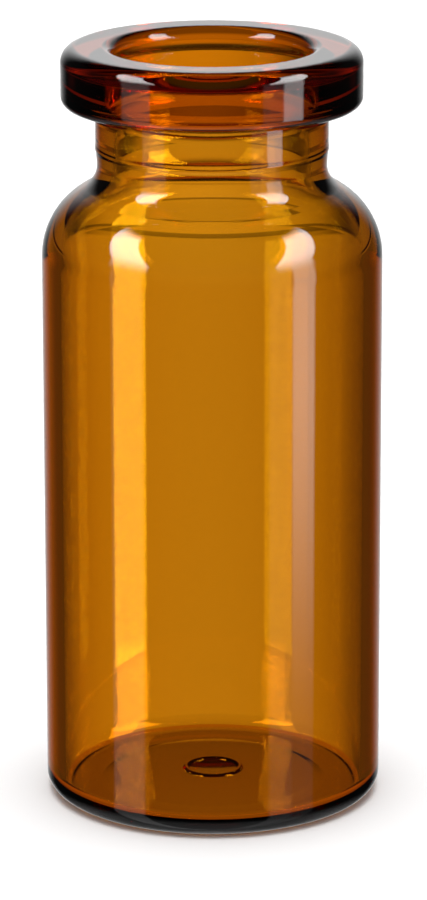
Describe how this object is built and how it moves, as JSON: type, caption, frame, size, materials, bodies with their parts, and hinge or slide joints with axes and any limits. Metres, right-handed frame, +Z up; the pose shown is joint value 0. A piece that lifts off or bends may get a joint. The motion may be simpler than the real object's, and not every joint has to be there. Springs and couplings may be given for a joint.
{
  "type": "crimp-neck glass vial",
  "caption": "Open amber glass sample vial: straight round body, rounded shoulder, short neck and a crimp flange at the mouth, for a stopper and a crimped cap.",
  "frame": {"origin": "middle of the standing ring under the base, on the axis of the vial", "axes": "+Z up the axis of the vial towards the mouth; X and Y are equal, because the vial is round"},
  "size_m": [0.022, 0.022, 0.0498],
  "materials": {
    "amber_glass": "clear, smooth fire-polished amber glass"
  },
  "bodies": {
    "root": {"vial": "amber_glass"}
  },
  "joints": []
}
